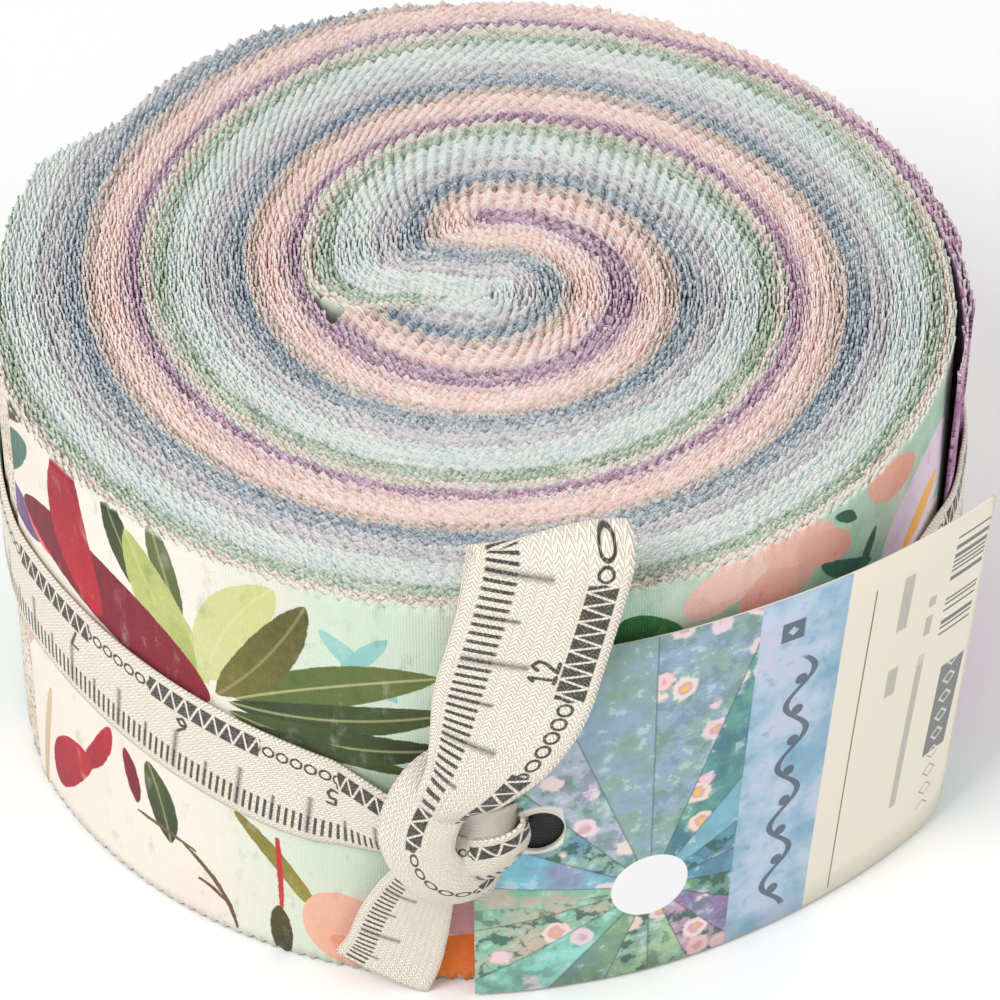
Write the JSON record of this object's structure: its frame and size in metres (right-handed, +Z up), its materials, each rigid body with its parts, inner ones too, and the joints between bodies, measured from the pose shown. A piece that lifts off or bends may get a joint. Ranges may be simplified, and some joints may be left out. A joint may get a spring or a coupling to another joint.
{
  "type": "pre-cut quilting fabric strip roll",
  "caption": "Spiral roll of folded, pinked cotton quilting strips, tied round the middle with a printed twill tape that carries a curved card label.",
  "frame": {"origin": "on the roll's axis, on the surface it stands on", "axes": "+Z up along the roll's axis, -Y towards the knot, +X towards the label's free end"},
  "size_m": [0.1239, 0.1306, 0.0731],
  "materials": {
    "print_plum": "plum watercolour print on quilting cotton",
    "print_pink": "dusty pink print on quilting cotton",
    "print_peach": "peach print on quilting cotton",
    "print_tan": "tan and rose-grey print on quilting cotton",
    "print_slate": "slate blue print on quilting cotton",
    "print_grey": "pale blue-grey print on quilting cotton",
    "print_aqua": "pale aqua print on quilting cotton",
    "print_green": "sage and leaf green print on quilting cotton",
    "print_cream": "cream print on quilting cotton",
    "print_floral": "large floral print on cream and aqua ground, quilting cotton",
    "twill_tape": "undyed cotton herringbone twill tape with a printed ruler",
    "printed_card": "matt-coated printed card"
  },
  "bodies": {
    "roll": {"strip_01": "print_plum", "strip_02": "print_plum", "strip_03": "print_plum", "strip_04": "print_pink", "strip_05": "print_pink", "strip_06": "print_peach", "strip_07": "print_peach", "strip_08": "print_peach", "strip_09": "print_peach", "strip_10": "print_peach", "strip_11": "print_peach", "strip_12": "print_tan", "strip_13": "print_tan", "strip_14": "print_tan", "strip_15": "print_slate", "strip_16": "print_slate", "strip_17": "print_slate", "strip_18": "print_slate", "strip_19": "print_slate", "strip_20": "print_grey", "strip_21": "print_grey", "strip_22": "print_grey", "strip_23": "print_grey", "strip_24": "print_grey", "strip_25": "print_grey", "strip_26": "print_aqua", "strip_27": "print_aqua", "strip_28": "print_aqua", "strip_29": "print_aqua", "strip_30": "print_aqua", "strip_31": "print_aqua", "strip_32": "print_aqua", "strip_33": "print_aqua", "strip_34": "print_green", "strip_35": "print_green", "strip_36": "print_green", "strip_37": "print_green", "strip_38": "print_cream", "strip_39": "print_cream", "strip_40": "print_floral"},
    "tie": {"ribbon_band": "twill_tape", "ribbon_knot": "twill_tape", "ribbon_loop": "twill_tape", "ribbon_tail": "twill_tape", "label_tab": "printed_card"},
    "label": {"label_panel": "printed_card"}
  },
  "joints": [
    {"name": "tie_slide", "type": "slide", "parent": "roll", "child": "tie", "axis": [0, 0, 1], "range_m": [0, 0.075]},
    {"name": "label_swing", "type": "hinge", "parent": "tie", "child": "label", "pos_m": [0.0172, -0.05998, 0.0285], "axis": [0, 0, -1], "range_deg": [0, 95]}
  ]
}
